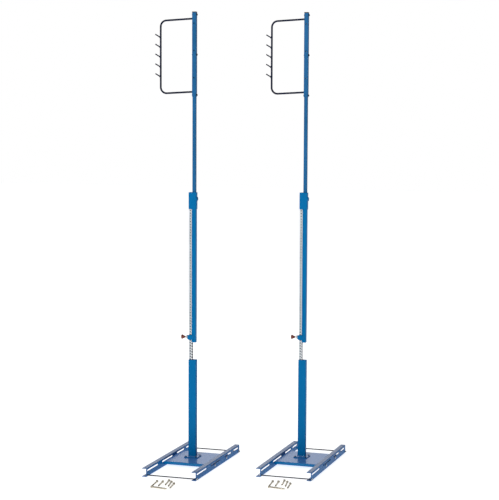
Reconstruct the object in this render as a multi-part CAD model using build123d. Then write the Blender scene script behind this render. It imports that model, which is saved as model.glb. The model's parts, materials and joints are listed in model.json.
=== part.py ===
from build123d import *
from math import atan2, cos, degrees, radians, sin
import os

# A pair of free-standing, height-adjustable volleyball net posts, millimetres.
# Each post is drawn about its own mast axis (x = y = 0, floor at z = 0) and then placed.
# +Z up, +X across the base rails, -Y towards the front tie rods.

# ---- the pair: two like posts, parallel, the right one standing a little further back ----
PAIR_X, PAIR_Y = 565.0, 195.0  # from the left mast's axis to the right one's
POSTS = ("left", "right")

# ---- fasteners that several joints share ----
BOLT_R, BOLT_HOLE_R = 2.9, 3.0
HEAD_R, HEAD_HEIGHT, HEAD_ROUND = 5.5, 3.2, 2.0
NUT_ACROSS, NUT_HEIGHT = 10.0, 5.0
NUT_TAIL = 1.0                # thread that stands out past a nut
RIVET_R = 2.4
RIVET_HEAD_R, RIVET_HEAD, RIVET_HEAD_ROUND = 4.5, 1.6, 1.3
RIVET_FLARE_R, RIVET_FLARE = 3.6, 1.2
CUT = 1.0                     # how far a cutting shape runs past the surface it opens
TIGHT_CORNER = 0.3            # least rounding inside a box tube

# ---- base rails: pressed steel channels, webs towards +X ----
RAIL_HEIGHT = 46.0
RAIL_FLANGE = 26.0
RAIL_WALL = 3.0
RAIL_FRONT = -400.0
RAIL_REAR = 300.0
RAIL_A_WEB = -109.0           # outer (+X) face of the web of rail A
RAIL_B_WEB = 168.0            # outer (+X) face of the web of rail B
RAIL_CORNER = 4.0
SLOT_HEIGHT = 9.0
SLOT_Z = 32.0
SLOTS = ((-390, -236), (-176, -20), (46, 160), (190, 280))   # Y of each slot's two ends
PEG_HOLE_R = 5.0              # holes for the ground pegs through both flanges
PEG_HOLE_END = 18.0           # from the end of the rail
PEG_HOLE_IN = 13.0            # from the web's outer face

# ---- base plate: folded tray between the rails ----
PLATE_TOP = 30.0
PLATE_WALL = 4.0
PLATE_FRONT = -150.0
PLATE_REAR = 120.0
PLATE_LIP = 16.0              # height of the folded edge
PLATE_CORNER = 3.0
PLATE_BOLT_Y = (-110.0, 80.0)
PLATE_BOLT_Z = 20.0

# ---- tie rods ----
ROD_R = 3.0
ROD_Z = 9.0
ROD_INSET = 8.0               # from each end of the rails
ROD_TAIL = 7.0                # from the web's outer face to the rod's end
ROD_CHAMFER = 0.6

# ---- mast ----
MAST_X, MAST_Y = 43.0, 28.0
MAST_WALL = 2.0
MAST_CORNER = 4.0
MAST_TOP = 567.0
FLANGE_X, FLANGE_Y, FLANGE_THICK = 76.0, 74.0, 5.0
FLANGE_CORNER, FLANGE_CHAMFER = 5.0, 0.8
FOOT_BOLT_X, FOOT_BOLT_Y = 29.0, 28.0

# ---- height strip: perforated channel, mouth towards the carriage ----
STRIP_X0 = -19.5              # back of its web, on the mast's inner wall
STRIP_DEPTH = 16.0
STRIP_WIDTH = 23.0
STRIP_WALL = 2.0
STRIP_CORNER = 2.4
STRIP_BOTTOM = 410.0
STRIP_TOP = 1476.0
PITCH = 15.0
INDEX_HOLE_R = 3.5
REST_Z = 690.0                # height of the latch pin at rest
HOLES_BELOW, HOLES_ABOVE = 17, 52
STRIP_RIVET_Z = (457.0, 532.0, 1403.0, 1463.0)

# ---- collar ----
COLLAR_BOTTOM, COLLAR_TOP = 1388.0, 1478.0
PAD_THICK, PAD_HALF_WIDTH, PAD_INSET = 0.8, 9.0, 4.0
CLAMP_Z = 1443.0
CLAMP_NUT_R, CLAMP_NUT_LENGTH, CLAMP_NUT_CHAMFER = 11.0, 5.0, 1.0
CLAMP_HOLE_R, CLAMP_SCREW_R = 4.0, 3.95
CLAMP_SCREW_GAP = 0.05        # between the screw's tip and the carriage tube
CLAMP_SCREW_OUT = 1.0         # past the nut
CLAMP_SOCKET_ACROSS, CLAMP_SOCKET_DEPTH = 4.0, 3.5

# ---- carriage: sliding tube, upper tube, bracket sleeve ----
TUBE_AXIS_X = 8.0
CARRIAGE_SIZE, CARRIAGE_WALL = 22.0, 1.8
CARRIAGE_BOTTOM, CARRIAGE_TOP = 663.0, 1440.0
UPPER_SIZE, UPPER_WALL = 18.0, 1.5
UPPER_BOTTOM, UPPER_TOP = 1290.0, 2434.0
SLEEVE_BOTTOM, SLEEVE_TOP = 1990.0, 2436.0
TUBE_CORNER, UPPER_CORNER = 2.0, 1.6
NET_HOLE_R = 3.5
NET_HOLE_Z = (2090.0, 2234.0, 2379.0)
BRACKET_BOLT_Z = (1999.0, 2213.0, 2425.0)
BRACKET_THREAD = 6.0          # bolt past the sleeve's +X face
CAP_THICK, CAP_ROUND = 5.0, 1.6
PLUG_DEPTH, PLUG_CLEAR, PLUG_CORNER = 4.0, 0.1, 1.0

# ---- hook loop and pegs ----
LOOP_ROD_R = 5.0
LOOP_BOTTOM_Z, LOOP_TOP_Z = 2005.0, 2395.0   # at the outer upright
LOOP_DROOP = 9.0              # how much higher both arms meet the sleeve
LOOP_OUTER_X = -186.0
LOOP_BEND_R = 33.0
HOOK_COUNT = 5
HOOK_PITCH = 52.5
HOOK_R = 3.2
HOOK_LENGTH = 36.0            # from the axis of the loop rod to the tip
HOOK_TILT = 30.0              # degrees above level
HOOK_TIP_R = 1.2              # rounding of the tip's edge
HOOK_ROOT_R = 4.6             # thicker root that a net cord seats against
HOOK_ROOT = 8.5               # from the axis of the loop rod to the root's shoulder

# ---- latch ----
HOUSING_X0, HOUSING_X1 = -27.0, 5.0
HOUSING_Y = 30.0
HOUSING_Z = 27.0
HOUSING_BACK_R, HOUSING_EDGE_R = 9.0, 1.5
PASSAGE_CLEAR = 0.5
PIN_R = 3.2
PIN_BORE_R = 3.3
BODY_R = 8.0
BODY_OUT = -35.2              # outer end of the threaded plunger body
BODY_IN = -22.0               # inner end, inside the housing
BODY_HEX = 19.0
BODY_GAP = 0.5                # between the hexagon and the housing
BODY_CHAMFER = 0.8
BODY_END_WALL = 2.0
CHAMBER_R = 6.0
PIN_TIP = -14.5
PIN_CHAMFER = 0.9
PIN_FLANGE_R, PIN_FLANGE_THICK = 5.6, 1.5
PIN_FLANGE_GAP = 0.2          # from the barrel's inner end to the flange at rest
KNOB_X0, KNOB_X1 = -64.5, -43.5
KNOB_BIG_R, KNOB_SMALL_R = 12.5, 5.5
KNOB_NECK, KNOB_NECK_SWELL = 4.5, 0.8
KNOB_WAIST_R, KNOB_WAIST = 8.8, 11.5
KNOB_RIM, KNOB_RIM_ROUND = 3.5, 1.5
KNOB_DISH_R, KNOB_DISH_DEPTH = 30.0, 1.6
KNOB_GROOVES, KNOB_GROOVE_R, KNOB_GROOVE_LENGTH = 12, 1.4, 10.0
KNOB_GROOVE_OUT = 0.8         # from the knob's rim to a groove's axis
PIN_IN_KNOB = -54.0
SPRING_WIRE_R, SPRING_R, SPRING_TURNS = 0.4, 4.7, 3.5
SPRING_GAP = 0.1

# ---- loose ground pegs, lying in front of each base ----
GROUND_PEG_R = 4.5
GROUND_PEG_LENGTH = 95.0
GROUND_PEG_HEAD_R, GROUND_PEG_HEAD, GROUND_PEG_CHAMFER = 7.0, 5.5, 1.0
GROUND_PEG_POINT, GROUND_PEG_TIP_R = 14.0, 1.0
FRONT_PEG_Y, FRONT_PEG_TURN = -606.0, 4.0
# each peg: head x, head y, direction in degrees from +X
GROUND_PEGS = ((-14, -488, -85), (16, -484, -84), (38, -452, -82), (60, -474, -80),
               (86, -505, -83), (-2, FRONT_PEG_Y, -FRONT_PEG_TURN))

# ---- the model's origin: bottom centre of everything ----
HOOK_REACH = (HOOK_LENGTH - HOOK_TIP_R) * cos(radians(HOOK_TILT)) \
    + (HOOK_R - HOOK_TIP_R) * sin(radians(HOOK_TILT)) + HOOK_TIP_R
PEG_REACH = GROUND_PEG_R * cos(radians(FRONT_PEG_TURN)) \
    + (GROUND_PEG_LENGTH - GROUND_PEG_POINT) * sin(radians(FRONT_PEG_TURN))
ORIGIN_X = (LOOP_OUTER_X - HOOK_REACH + RAIL_B_WEB + ROD_TAIL) / 2
ORIGIN_Y = (FRONT_PEG_Y - PEG_REACH + RAIL_REAR) / 2


# ---- general helpers ----
def block(x0, x1, y0, y1, z0, z1):
    """A box between two corners."""
    return Pos((x0 + x1) / 2, (y0 + y1) / 2, (z0 + z1) / 2) * Box(x1 - x0, y1 - y0, z1 - z0)


def rod_x(x0, x1, y, z, r):
    """A round bar along X."""
    return Pos((x0 + x1) / 2, y, z) * Rot(0, 90, 0) * Cylinder(r, x1 - x0)


def rod_y(y0, y1, x, z, r):
    """A round bar along Y."""
    return Pos(x, (y0 + y1) / 2, z) * Rot(90, 0, 0) * Cylinder(r, y1 - y0)


def rod_z(z0, z1, x, y, r):
    """A round bar along Z."""
    return Pos(x, y, (z0 + z1) / 2) * Cylinder(r, z1 - z0)


def hex_x(x0, x1, y, z, across):
    """A hexagonal nut or head along X, measured across its flats."""
    outline = RegularPolygon(across / 2, 6, major_radius=False)
    return Pos(x0, y, z) * Rot(0, 90, 0) * extrude(outline, x1 - x0)


def hex_z(z0, z1, x, y, across):
    """A hexagonal nut or head along Z."""
    return Pos(x, y, z0) * extrude(RegularPolygon(across / 2, 6, major_radius=False), z1 - z0)


def box_tube(x, y, size_x, size_y, wall, z0, z1, corner):
    """A rectangular tube along Z with rounded corners."""
    outside = RectangleRounded(size_x, size_y, corner)
    inside = RectangleRounded(size_x - 2 * wall, size_y - 2 * wall, max(corner - wall, TIGHT_CORNER))
    return Pos(x, y, z0) * extrude(outside - inside, z1 - z0)


def group(solids):
    """Separate solids that share one node."""
    return Compound(children=[piece.solid() for piece in solids])


# ---- base ----
def rail(web_x):
    """Channel with its web at web_x and both flanges towards -X, slotted and drilled."""
    x0, inner_x = web_x - RAIL_FLANGE, web_x - RAIL_WALL
    length = RAIL_REAR - RAIL_FRONT
    with BuildSketch(Plane.XZ) as section:
        with Locations(((x0 + web_x) / 2, RAIL_HEIGHT / 2)):
            Rectangle(RAIL_FLANGE, RAIL_HEIGHT)
        fillet(section.vertices().group_by(Axis.X)[-1], RAIL_CORNER)
        with Locations((inner_x - RAIL_FLANGE / 2, RAIL_HEIGHT / 2)):
            Rectangle(RAIL_FLANGE, RAIL_HEIGHT - 2 * RAIL_WALL, mode=Mode.SUBTRACT)
    body = Pos(0, RAIL_FRONT, 0) * extrude(section.sketch, -length)
    for y0, y1 in SLOTS:
        slot = extrude(Plane.YZ * SlotOverall(y1 - y0, SLOT_HEIGHT), RAIL_WALL + 2 * CUT)
        body -= Pos(inner_x - CUT, (y0 + y1) / 2, SLOT_Z) * slot
    for hole_y in (RAIL_FRONT + PEG_HOLE_END, RAIL_REAR - PEG_HOLE_END):
        body -= rod_z(-CUT, RAIL_HEIGHT + CUT, web_x - PEG_HOLE_IN, hole_y, PEG_HOLE_R)
    for rod_at in (RAIL_FRONT + ROD_INSET, RAIL_REAR - ROD_INSET):
        body -= rod_x(inner_x - CUT, web_x + CUT, rod_at, ROD_Z, ROD_R)
    for bolt_y in PLATE_BOLT_Y:
        body -= rod_x(inner_x - CUT, web_x + CUT, bolt_y, PLATE_BOLT_Z, BOLT_HOLE_R)
    return body


def plate_edges():
    """X of the plate's two side faces: on rail A's web, and inside rail B's web."""
    return RAIL_A_WEB, RAIL_B_WEB - RAIL_WALL


def foot_bolt_places():
    """X and Y of the four bolts at the mast's foot."""
    return [(x, y) for x in (-FOOT_BOLT_X, FOOT_BOLT_X) for y in (-FOOT_BOLT_Y, FOOT_BOLT_Y)]


def base_plate():
    """Sheet folded down along all four edges, drilled for the foot and the rails."""
    x0, x1 = plate_edges()
    body = block(x0, x1, PLATE_FRONT, PLATE_REAR, PLATE_TOP - PLATE_LIP, PLATE_TOP)
    body = fillet(body.edges().group_by(Axis.Z)[-1].filter_by(Axis.X), PLATE_CORNER)
    body -= block(x0 + PLATE_WALL, x1 - PLATE_WALL, PLATE_FRONT + PLATE_WALL,
                  PLATE_REAR - PLATE_WALL, 0, PLATE_TOP - PLATE_WALL)
    for bolt_y in PLATE_BOLT_Y:
        body -= rod_x(x0 - CUT, x0 + PLATE_WALL + CUT, bolt_y, PLATE_BOLT_Z, BOLT_HOLE_R)
        body -= rod_x(x1 - PLATE_WALL - CUT, x1 + CUT, bolt_y, PLATE_BOLT_Z, BOLT_HOLE_R)
    for x, y in foot_bolt_places():
        body -= rod_z(PLATE_TOP - PLATE_WALL - CUT, PLATE_TOP + CUT, x, y, BOLT_HOLE_R)
    return body


def side_bolt(face, far, y):
    """Bolt along X with its head outside one face and a nut past the far face."""
    way = 1 if far > face else -1
    tail = far + way * (NUT_HEIGHT + NUT_TAIL)
    head = rod_between(face - way * HEAD_HEIGHT, face, y, HEAD_R)
    bolt = head + rod_between(face, tail, y, BOLT_R)
    lock = hex_x(min(far, far + way * NUT_HEIGHT), max(far, far + way * NUT_HEIGHT),
                 y, PLATE_BOLT_Z, NUT_ACROSS)
    return [bolt, lock - rod_between(face, tail, y, BOLT_R)]


def rod_between(xa, xb, y, r):
    """A round bar along X at the side bolts' height, its ends given in either order."""
    return rod_x(min(xa, xb), max(xa, xb), y, PLATE_BOLT_Z, r)


def plate_fasteners():
    """Bolt and nut at each of the four places where the plate's side lips meet the webs."""
    solids = []
    x0, x1 = plate_edges()
    for y in PLATE_BOLT_Y:
        solids += side_bolt(x0 - RAIL_WALL, x0 + PLATE_WALL, y)
        solids += side_bolt(x1 + RAIL_WALL, x1 - PLATE_WALL, y)
    return group(solids)


def tie_rod(y):
    """Threaded rod through both webs, near the floor."""
    bar = rod_x(RAIL_A_WEB - RAIL_WALL - ROD_TAIL, RAIL_B_WEB + ROD_TAIL, y, ROD_Z, ROD_R)
    return chamfer(bar.edges().filter_by(GeomType.CIRCLE), ROD_CHAMFER)


def tie_rod_nuts():
    """Nuts outside the webs, one at each end of both tie rods."""
    solids = []
    for y in (RAIL_FRONT + ROD_INSET, RAIL_REAR - ROD_INSET):
        for x0 in (RAIL_A_WEB - RAIL_WALL - NUT_HEIGHT, RAIL_B_WEB):
            nut = hex_x(x0, x0 + NUT_HEIGHT, y, ROD_Z, NUT_ACROSS)
            solids.append(nut - rod_x(x0 - CUT, x0 + NUT_HEIGHT + CUT, y, ROD_Z, ROD_R))
    return group(solids)


# ---- mast ----
def foot_flange():
    """Square foot of the mast, drilled at its corners."""
    outline = RectangleRounded(FLANGE_X, FLANGE_Y, FLANGE_CORNER)
    plate = Pos(0, 0, PLATE_TOP) * extrude(outline, FLANGE_THICK)
    plate = chamfer(plate.edges().group_by(Axis.Z)[-1], FLANGE_CHAMFER)
    for x, y in foot_bolt_places():
        plate -= rod_z(PLATE_TOP - CUT, PLATE_TOP + FLANGE_THICK + CUT, x, y, BOLT_HOLE_R)
    return plate


def foot_bolts():
    """Four button-head bolts with nuts under the plate."""
    solids = []
    top = PLATE_TOP + FLANGE_THICK
    under = PLATE_TOP - PLATE_WALL
    tail = under - NUT_HEIGHT - NUT_TAIL
    for x, y in foot_bolt_places():
        head = rod_z(top, top + HEAD_HEIGHT, x, y, HEAD_R)
        head = fillet(head.edges().group_by(Axis.Z)[-1], HEAD_ROUND)
        shank = rod_z(tail, top, x, y, BOLT_R)
        lock = hex_z(under - NUT_HEIGHT, under, x, y, NUT_ACROSS)
        solids += [head + shank, lock - rod_z(tail, under + CUT, x, y, BOLT_R)]
    return group(solids)


def rivet_holes(solid):
    """Holes for the strip's rivets through a wall on the -X side."""
    for z in STRIP_RIVET_Z:
        solid -= rod_x(-MAST_X / 2 - CUT, STRIP_X0 + STRIP_WALL + CUT, 0, z, RIVET_R)
    return solid


def lower_mast():
    """Rectangular tube that stands on the foot flange."""
    tube = box_tube(0, 0, MAST_X, MAST_Y, MAST_WALL, PLATE_TOP + FLANGE_THICK, MAST_TOP, MAST_CORNER)
    return rivet_holes(tube)


def height_strip():
    """Channel with a row of holes in its web and both flanges."""
    half = STRIP_WIDTH / 2
    web_inner, mouth = STRIP_X0 + STRIP_WALL, STRIP_X0 + STRIP_DEPTH
    outside = block(STRIP_X0, mouth, -half, half, STRIP_BOTTOM, STRIP_TOP)
    body = fillet(outside.edges().filter_by(Axis.Z).group_by(Axis.X)[0], STRIP_CORNER)
    body -= block(web_inner, mouth + CUT, -half + STRIP_WALL, half - STRIP_WALL,
                  STRIP_BOTTOM - CUT, STRIP_TOP + CUT)
    cutters = []
    flange_x = (web_inner + mouth) / 2
    for step in range(-HOLES_BELOW, HOLES_ABOVE + 1):
        z = REST_Z + PITCH * step
        cutters.append(rod_x(STRIP_X0 - CUT, web_inner + CUT, 0, z, INDEX_HOLE_R))
        cutters.append(rod_y(-half - CUT, half + CUT, flange_x, z, INDEX_HOLE_R))
    return rivet_holes(body - cutters)


def strip_rivets():
    """Rivets through the mast's or the collar's side wall and the strip's web."""
    solids = []
    outer, inner = -MAST_X / 2, STRIP_X0 + STRIP_WALL
    for z in STRIP_RIVET_Z:
        dome = rod_x(outer - RIVET_HEAD, outer, 0, z, RIVET_HEAD_R)
        rivet = fillet(dome.edges().group_by(Axis.X)[0], RIVET_HEAD_ROUND)
        rivet += rod_x(outer, inner, 0, z, RIVET_R)
        rivet += rod_x(inner, inner + RIVET_FLARE, 0, z, RIVET_FLARE_R)
        solids.append(rivet)
    return group(solids)


# ---- collar ----
def collar():
    """Short piece of the mast's tube, held on the strip, that guides the carriage."""
    tube = box_tube(0, 0, MAST_X, MAST_Y, MAST_WALL, COLLAR_BOTTOM, COLLAR_TOP, MAST_CORNER)
    tube -= rod_x(TUBE_AXIS_X, MAST_X, 0, CLAMP_Z, CLAMP_HOLE_R)
    return rivet_holes(tube)


def collar_guide_pads():
    """Two plastic wear strips in the collar, in front of and behind the carriage tube."""
    inner = MAST_Y / 2 - MAST_WALL
    x0, x1 = TUBE_AXIS_X - PAD_HALF_WIDTH, TUBE_AXIS_X + PAD_HALF_WIDTH
    z0, z1 = COLLAR_BOTTOM + PAD_INSET, COLLAR_TOP - PAD_INSET
    front = block(x0, x1, -inner, -inner + PAD_THICK, z0, z1)
    back = block(x0, x1, inner - PAD_THICK, inner, z0, z1)
    return group([front, back])


def clamp_nut():
    """Round weld nut on the collar's +X side."""
    x0 = MAST_X / 2
    nut = rod_x(x0, x0 + CLAMP_NUT_LENGTH, 0, CLAMP_Z, CLAMP_NUT_R)
    nut = chamfer(nut.edges().group_by(Axis.X)[-1], CLAMP_NUT_CHAMFER)
    return nut - rod_x(x0 - CUT, x0 + CLAMP_NUT_LENGTH + CUT, 0, CLAMP_Z, CLAMP_HOLE_R)


def clamp_screw():
    """Socket screw that presses on the carriage tube and takes up its play."""
    tip = TUBE_AXIS_X + CARRIAGE_SIZE / 2 + CLAMP_SCREW_GAP
    end = MAST_X / 2 + CLAMP_NUT_LENGTH + CLAMP_SCREW_OUT
    screw = rod_x(tip, end, 0, CLAMP_Z, CLAMP_SCREW_R)
    screw = chamfer(screw.edges().group_by(Axis.X)[-1], ROD_CHAMFER)
    return screw - hex_x(end - CLAMP_SOCKET_DEPTH, end + CUT, 0, CLAMP_Z, CLAMP_SOCKET_ACROSS)


# ---- carriage ----
def carriage_tube():
    """Square tube that slides in the collar and carries the latch."""
    return box_tube(TUBE_AXIS_X, 0, CARRIAGE_SIZE, CARRIAGE_SIZE, CARRIAGE_WALL,
                    CARRIAGE_BOTTOM, CARRIAGE_TOP, TUBE_CORNER)


def bracket_holes(solid):
    """Bolt holes along X and net holes along Y near the top."""
    reach = CARRIAGE_SIZE / 2 + CUT
    for z in BRACKET_BOLT_Z:
        solid -= rod_x(TUBE_AXIS_X - reach, TUBE_AXIS_X + reach, 0, z, BOLT_HOLE_R)
    for z in NET_HOLE_Z:
        solid -= rod_y(-reach, reach, TUBE_AXIS_X, z, NET_HOLE_R)
    return solid


def upper_tube():
    """Slimmer tube that stands in the carriage tube."""
    tube = box_tube(TUBE_AXIS_X, 0, UPPER_SIZE, UPPER_SIZE, UPPER_WALL,
                    UPPER_BOTTOM, UPPER_TOP, UPPER_CORNER)
    return bracket_holes(tube)


def bracket_sleeve():
    """Outer sleeve over the top of the upper tube; the hook loop is welded to it."""
    tube = box_tube(TUBE_AXIS_X, 0, CARRIAGE_SIZE, CARRIAGE_SIZE, CARRIAGE_WALL,
                    SLEEVE_BOTTOM, SLEEVE_TOP, TUBE_CORNER)
    return bracket_holes(tube)


def sleeve_cap():
    """Plastic end cap over the sleeve, with a plug that goes inside the upper tube."""
    outline = RectangleRounded(CARRIAGE_SIZE, CARRIAGE_SIZE, TUBE_CORNER)
    top = Pos(TUBE_AXIS_X, 0, SLEEVE_TOP) * extrude(outline, CAP_THICK)
    top = fillet(top.edges().group_by(Axis.Z)[-1], CAP_ROUND)
    plug_size = UPPER_SIZE - 2 * UPPER_WALL - PLUG_CLEAR
    plug_from = UPPER_TOP - PLUG_DEPTH
    plug = extrude(RectangleRounded(plug_size, plug_size, PLUG_CORNER), SLEEVE_TOP - plug_from)
    return top + Pos(TUBE_AXIS_X, 0, plug_from) * plug


def bracket_bolts():
    """Bolts that pin the sleeve to the upper tube, heads on the -X side."""
    solids = []
    x0, x1 = TUBE_AXIS_X - CARRIAGE_SIZE / 2, TUBE_AXIS_X + CARRIAGE_SIZE / 2
    for z in BRACKET_BOLT_Z:
        head = rod_x(x0 - HEAD_HEIGHT, x0, 0, z, HEAD_R)
        head = fillet(head.edges().group_by(Axis.X)[0], HEAD_ROUND)
        solids.append(head + rod_x(x0, x1 + BRACKET_THREAD, 0, z, BOLT_R))
    return group(solids)


def bracket_nuts():
    """Nuts on the +X ends of the bracket bolts."""
    x1 = TUBE_AXIS_X + CARRIAGE_SIZE / 2
    return group([hex_x(x1, x1 + NUT_HEIGHT, 0, z, NUT_ACROSS)
                  - rod_x(x1 - CUT, x1 + NUT_HEIGHT + CUT, 0, z, BOLT_R) for z in BRACKET_BOLT_Z])


def hook_loop():
    """Round rod bent into a three-sided loop, its ends on the sleeve's -X face."""
    x_weld = TUBE_AXIS_X - CARRIAGE_SIZE / 2
    inside = x_weld + CUT
    rise = LOOP_DROOP * (inside - LOOP_OUTER_X) / (x_weld - LOOP_OUTER_X)
    points = [(inside, 0, LOOP_TOP_Z + rise), (LOOP_OUTER_X, 0, LOOP_TOP_Z),
              (LOOP_OUTER_X, 0, LOOP_BOTTOM_Z), (inside, 0, LOOP_BOTTOM_Z + rise)]
    path = FilletPolyline(*points, radius=LOOP_BEND_R)
    start = Plane(origin=points[0], z_dir=path % 0)
    rod = sweep(start * Circle(LOOP_ROD_R), path=path)
    reach = LOOP_TOP_Z + LOOP_DROOP
    return rod - block(x_weld, x_weld + LOOP_ROD_R, -reach, reach, 0, 2 * reach)


def hook_levels():
    """Height of each hook's root on the loop's outer upright."""
    middle = (LOOP_TOP_Z + LOOP_BOTTOM_Z) / 2
    first = middle - HOOK_PITCH * (HOOK_COUNT - 1) / 2
    return [first + HOOK_PITCH * i for i in range(HOOK_COUNT)]


def hook_pegs():
    """Short shouldered pegs welded to the loop's outer upright, pointing outwards and up."""
    solids = []
    upright = rod_z(LOOP_BOTTOM_Z, LOOP_TOP_Z, LOOP_OUTER_X, 0, LOOP_ROD_R)
    for z in hook_levels():
        peg = Pos(0, 0, HOOK_LENGTH / 2) * Cylinder(HOOK_R, HOOK_LENGTH)
        peg = fillet(peg.edges().group_by(Axis.Z)[-1], HOOK_TIP_R)
        peg += Pos(0, 0, HOOK_ROOT / 2) * Cylinder(HOOK_ROOT_R, HOOK_ROOT)
        placed = Pos(LOOP_OUTER_X, 0, z) * Rot(0, -(90 - HOOK_TILT), 0) * peg
        solids.append((placed - upright).solids().sort_by(Axis.X)[0])
    return group(solids)


# ---- latch ----
def latch_housing():
    """Rounded block round the strip, welded to the carriage tube."""
    half_y, half_z = HOUSING_Y / 2, HOUSING_Z / 2
    body = block(HOUSING_X0, HOUSING_X1, -half_y, half_y, REST_Z - half_z, REST_Z + half_z)
    body = fillet(body.edges().filter_by(Axis.Y).group_by(Axis.X)[0], HOUSING_BACK_R)
    body = fillet(body.edges().filter_by(Axis.X), HOUSING_EDGE_R)
    strip_half = STRIP_WIDTH / 2 + PASSAGE_CLEAR
    tube_x0 = TUBE_AXIS_X - CARRIAGE_SIZE / 2
    body -= block(STRIP_X0 - PASSAGE_CLEAR, tube_x0, -strip_half, strip_half,
                  REST_Z - HOUSING_Z, REST_Z + HOUSING_Z)
    body -= block(tube_x0, HOUSING_X1 + CUT, -CARRIAGE_SIZE / 2, CARRIAGE_SIZE / 2,
                  REST_Z - HOUSING_Z, REST_Z + HOUSING_Z)
    body -= rod_x(BODY_IN, STRIP_X0, 0, REST_Z, PIN_BORE_R)
    return body - rod_x(HOUSING_X0 - CUT, BODY_IN, 0, REST_Z, BODY_R)


def plunger_body():
    """Threaded barrel with a hexagon outside, hollow for the spring."""
    hex_end = HOUSING_X0 - BODY_GAP
    trim = rod_x(BODY_OUT, hex_end, 0, 0, BODY_HEX / 2 + BODY_CHAMFER)
    trim = chamfer(trim.edges().filter_by(GeomType.CIRCLE), BODY_CHAMFER)
    body = (hex_x(BODY_OUT, hex_end, 0, 0, BODY_HEX) & trim).solid()
    body += rod_x(hex_end, BODY_IN, 0, 0, BODY_R)
    body -= rod_x(BODY_OUT + BODY_END_WALL, BODY_IN + CUT, 0, 0, CHAMBER_R)
    body -= rod_x(BODY_OUT - CUT, BODY_OUT + BODY_END_WALL + CUT, 0, 0, PIN_BORE_R)
    return Pos(0, 0, REST_Z) * body


def plunger_pin():
    """Latch pin: its tip stands in a hole of the strip, its tail in the knob."""
    pin = rod_x(PIN_IN_KNOB, PIN_TIP, 0, REST_Z, PIN_R)
    pin = chamfer(pin.edges().group_by(Axis.X)[-1], PIN_CHAMFER)
    flange_x1 = BODY_IN - PIN_FLANGE_GAP
    return pin + rod_x(flange_x1 - PIN_FLANGE_THICK, flange_x1, 0, REST_Z, PIN_FLANGE_R)


def plunger_spring():
    """Compression spring between the pin's flange and the barrel's end wall."""
    x0 = BODY_OUT + BODY_END_WALL + SPRING_GAP + SPRING_WIRE_R
    x1 = BODY_IN - PIN_FLANGE_GAP - PIN_FLANGE_THICK - SPRING_GAP - SPRING_WIRE_R
    length = x1 - x0
    coil = Helix(pitch=length / SPRING_TURNS, height=length, radius=SPRING_R)
    start = Plane(origin=coil @ 0, z_dir=coil % 0)
    wire = sweep(start * Circle(SPRING_WIRE_R), path=coil, is_frenet=True)
    return Pos(x0, 0, REST_Z) * Rot(0, 90, 0) * wire


def plunger_knob():
    """Flared knob, wide at its outer end, with a shallow dish and finger grooves."""
    depth = KNOB_X1 - KNOB_X0
    rim_start, rim_end = depth - KNOB_RIM, depth - KNOB_RIM_ROUND
    neck_end = (KNOB_SMALL_R + KNOB_NECK_SWELL, KNOB_NECK)
    face_r = KNOB_BIG_R - KNOB_RIM_ROUND
    with BuildSketch(Plane.XZ) as half:
        with BuildLine():
            Polyline([(0, 0), (KNOB_SMALL_R, 0), neck_end])
            Spline([neck_end, (KNOB_WAIST_R, KNOB_WAIST), (KNOB_BIG_R, rim_start)])
            Line((KNOB_BIG_R, rim_start), (KNOB_BIG_R, rim_end))
            RadiusArc((KNOB_BIG_R, rim_end), (face_r, depth), -KNOB_RIM_ROUND)
            Line((face_r, depth), (0, depth))
            Line((0, depth), (0, 0))
        make_face()
    knob = revolve(half.sketch, Axis.Z)
    knob -= Pos(0, 0, depth + KNOB_DISH_R - KNOB_DISH_DEPTH) * Sphere(KNOB_DISH_R)
    groove = Pos(KNOB_BIG_R + KNOB_GROOVE_OUT, 0, rim_start) * Cylinder(KNOB_GROOVE_R, KNOB_GROOVE_LENGTH)
    for turn in range(KNOB_GROOVES):
        knob -= Rot(0, 0, 360 * turn / KNOB_GROOVES) * groove
    knob = Pos(KNOB_X1, 0, REST_Z) * Rot(0, -90, 0) * knob
    return knob - rod_x(PIN_IN_KNOB, KNOB_X1 + CUT, 0, REST_Z, PIN_R)


# ---- ground pegs ----
def ground_peg():
    """One peg along +Z, its head at the bottom."""
    straight = GROUND_PEG_LENGTH - GROUND_PEG_HEAD - GROUND_PEG_POINT
    head = Pos(0, 0, GROUND_PEG_HEAD / 2) * Cylinder(GROUND_PEG_HEAD_R, GROUND_PEG_HEAD)
    head = chamfer(head.edges().group_by(Axis.Z)[0], GROUND_PEG_CHAMFER)
    bar = Pos(0, 0, GROUND_PEG_HEAD + straight / 2) * Cylinder(GROUND_PEG_R, straight)
    point = Cone(GROUND_PEG_R, GROUND_PEG_TIP_R, GROUND_PEG_POINT)
    return head + bar + Pos(0, 0, GROUND_PEG_LENGTH - GROUND_PEG_POINT / 2) * point


def ground_pegs():
    """Loose pegs lying on the floor, each on its head's rim and its shank's far end."""
    solids = []
    drop = atan2(GROUND_PEG_HEAD_R - GROUND_PEG_R,
                 GROUND_PEG_LENGTH - GROUND_PEG_POINT - GROUND_PEG_HEAD)
    for x, y, heading in GROUND_PEGS:
        lying = Rot(0, 0, heading) * Rot(0, degrees(drop), 0) * Rot(0, 90, 0) * ground_peg()
        low = lying.bounding_box().min.Z
        solids.append(Pos(x, y, -low) * lying)
    return group(solids)


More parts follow.
